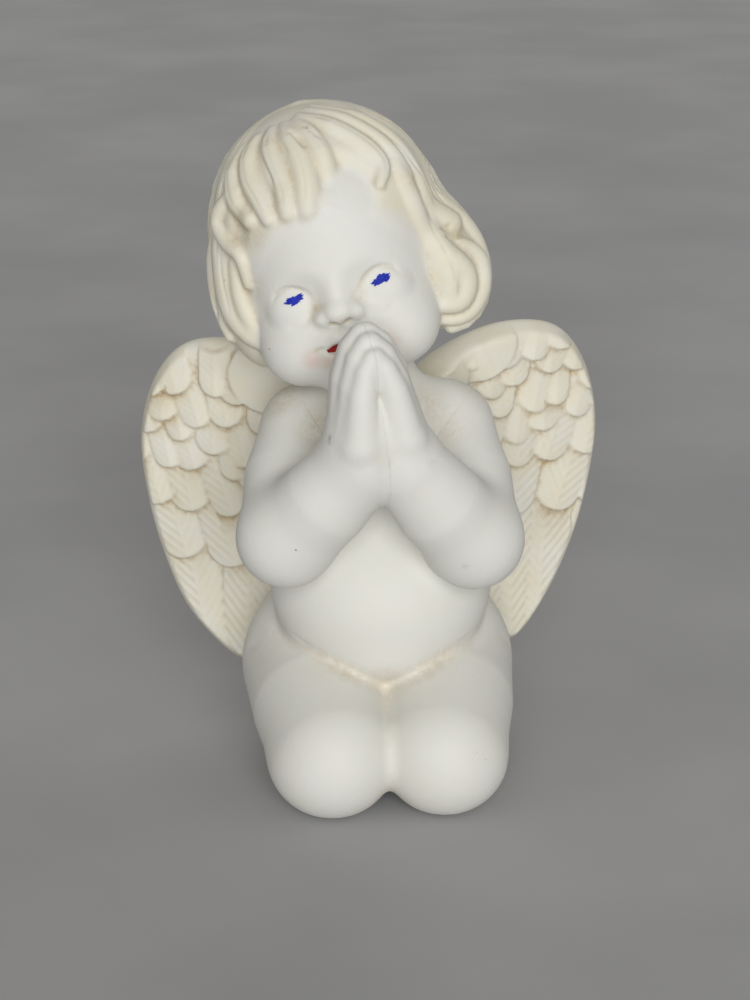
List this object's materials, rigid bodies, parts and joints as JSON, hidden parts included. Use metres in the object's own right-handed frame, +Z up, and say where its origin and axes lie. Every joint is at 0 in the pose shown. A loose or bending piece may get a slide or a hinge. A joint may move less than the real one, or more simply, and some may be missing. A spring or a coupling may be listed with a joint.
{
  "type": "resin angel figurine",
  "caption": "Kneeling child angel in cast resin, palms pressed together and head leaning, with two feathered wings swept back.",
  "frame": {"origin": "on the ground, under the middle of the figure's width and depth", "axes": "+X to the figure's own left, -Y to its front, +Z up"},
  "size_m": [0.1136, 0.084, 0.1576],
  "materials": {
    "cast_resin": "matte, with an ochre wash in the hollows",
    "pin_steel": "drawn",
    "plug_rubber": "matte",
    "eye_paint": "hand-dabbed paint",
    "mouth_paint": "hand-dabbed paint"
  },
  "bodies": {
    "root": {"body": "cast_resin", "head": "cast_resin", "left_arm": "cast_resin", "right_arm": "cast_resin", "left_wing": "cast_resin", "right_wing": "cast_resin", "neck_dowel": "pin_steel", "left_wing_upper_pin": "pin_steel", "left_wing_lower_pin": "pin_steel", "right_wing_upper_pin": "pin_steel", "right_wing_lower_pin": "pin_steel", "base_plug": "plug_rubber", "left_iris": "eye_paint", "right_iris": "eye_paint", "mouth": "mouth_paint"}
  },
  "joints": []
}
